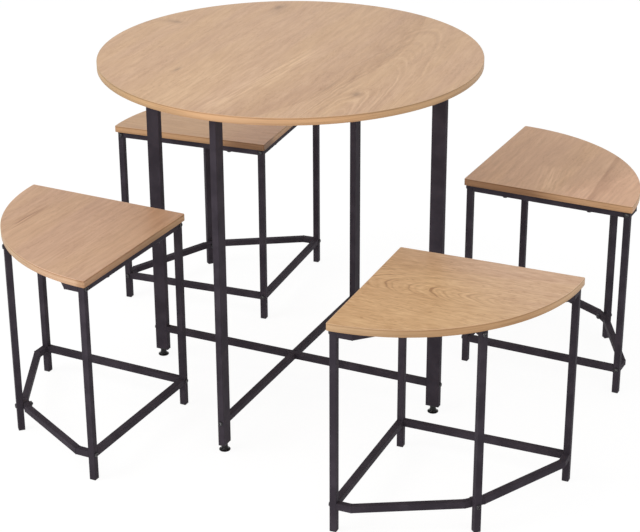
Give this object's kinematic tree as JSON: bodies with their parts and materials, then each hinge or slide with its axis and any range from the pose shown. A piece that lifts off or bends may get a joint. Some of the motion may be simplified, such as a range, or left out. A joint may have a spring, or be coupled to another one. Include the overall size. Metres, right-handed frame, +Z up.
{
  "type": "dining table and stools set",
  "caption": "Round dining table on slim steel legs, with backless quarter-round stools that slide in between the legs.",
  "frame": {"origin": "on the floor, under the middle of the outline of the whole set with its stools pulled out", "axes": "+Z up; +X and +Y run along the table's two crossed braces, +X to the leg on the right"},
  "size_m": [1.2764, 1.202, 0.765],
  "materials": {
    "oak_board": "matt light oak laminate with a fine straight grain",
    "oak_edge": "matching oak edge banding",
    "black_steel": "satin black powder coat",
    "black_bolt": "black oxide, slightly glossy",
    "zinc_steel": "zinc plated",
    "black_plastic": "moulded black polyethylene",
    "foot_plastic": "glossy moulded black plastic"
  },
  "bodies": {
    "table": {"tabletop": "oak_board", "tabletop_edge_band": "oak_edge", "table_upper_cross": "black_steel", "table_lower_cross": "black_steel", "table_cross_bolts": "black_bolt", "table_cross_nuts": "zinc_steel", "table_leg_plugs": "black_plastic", "tabletop_screws": "black_bolt", "table_leg_left": "black_steel", "table_leg_front": "black_steel", "table_leg_right": "black_steel", "table_leg_back": "black_steel"},
    "levelling_foot_left": {"levelling_foot_left": "foot_plastic"},
    "levelling_foot_front": {"levelling_foot_front": "foot_plastic"},
    "levelling_foot_right": {"levelling_foot_right": "foot_plastic"},
    "levelling_foot_back": {"levelling_foot_back": "foot_plastic"},
    "stool_front_right": {"front_right_seat_board": "oak_board", "front_right_seat_edge_band": "oak_edge", "front_right_side_frame": "black_steel", "front_right_end_frame": "black_steel", "front_right_upper_arc_rail": "black_steel", "front_right_lower_arc_rail": "black_steel", "front_right_middle_leg": "black_steel", "front_right_leg_plugs": "black_plastic", "front_right_frame_bolts": "black_bolt", "front_right_frame_nuts": "zinc_steel", "front_right_seat_screws": "black_bolt"},
    "stool_front_left": {"front_left_seat_board": "oak_board", "front_left_seat_edge_band": "oak_edge", "front_left_side_frame": "black_steel", "front_left_end_frame": "black_steel", "front_left_upper_arc_rail": "black_steel", "front_left_lower_arc_rail": "black_steel", "front_left_middle_leg": "black_steel", "front_left_leg_plugs": "black_plastic", "front_left_frame_bolts": "black_bolt", "front_left_frame_nuts": "zinc_steel", "front_left_seat_screws": "black_bolt"},
    "stool_back_left": {"back_left_seat_board": "oak_board", "back_left_seat_edge_band": "oak_edge", "back_left_side_frame": "black_steel", "back_left_end_frame": "black_steel", "back_left_upper_arc_rail": "black_steel", "back_left_lower_arc_rail": "black_steel", "back_left_middle_leg": "black_steel", "back_left_leg_plugs": "black_plastic", "back_left_frame_bolts": "black_bolt", "back_left_frame_nuts": "zinc_steel", "back_left_seat_screws": "black_bolt"},
    "stool_back_right": {"back_right_seat_board": "oak_board", "back_right_seat_edge_band": "oak_edge", "back_right_side_frame": "black_steel", "back_right_end_frame": "black_steel", "back_right_upper_arc_rail": "black_steel", "back_right_lower_arc_rail": "black_steel", "back_right_middle_leg": "black_steel", "back_right_leg_plugs": "black_plastic", "back_right_frame_bolts": "black_bolt", "back_right_frame_nuts": "zinc_steel", "back_right_seat_screws": "black_bolt"}
  },
  "joints": [
    {"name": "foot_left_height", "type": "slide", "parent": "table", "child": "levelling_foot_left", "axis": [0, 0, -1], "range_m": [0, 0.01]},
    {"name": "foot_front_height", "type": "slide", "parent": "table", "child": "levelling_foot_front", "axis": [0, 0, -1], "range_m": [0, 0.01]},
    {"name": "foot_right_height", "type": "slide", "parent": "table", "child": "levelling_foot_right", "axis": [0, 0, -1], "range_m": [0, 0.01]},
    {"name": "foot_back_height", "type": "slide", "parent": "table", "child": "levelling_foot_back", "axis": [0, 0, -1], "range_m": [0, 0.01]},
    {"name": "stool_front_right_tuck", "type": "slide", "parent": "table", "child": "stool_front_right", "axis": [-0.9167, 0.3995, 0], "range_m": [0, 0.3312]},
    {"name": "stool_front_left_tuck", "type": "slide", "parent": "table", "child": "stool_front_left", "axis": [0.695, 0.719, 0], "range_m": [0, 0.217]},
    {"name": "stool_back_left_tuck", "type": "slide", "parent": "table", "child": "stool_back_left", "axis": [0.6452, -0.764, 0], "range_m": [0, 0.2864]},
    {"name": "stool_back_right_tuck", "type": "slide", "parent": "table", "child": "stool_back_right", "axis": [-0.7805, -0.6251, 0], "range_m": [0, 0.3664]}
  ]
}
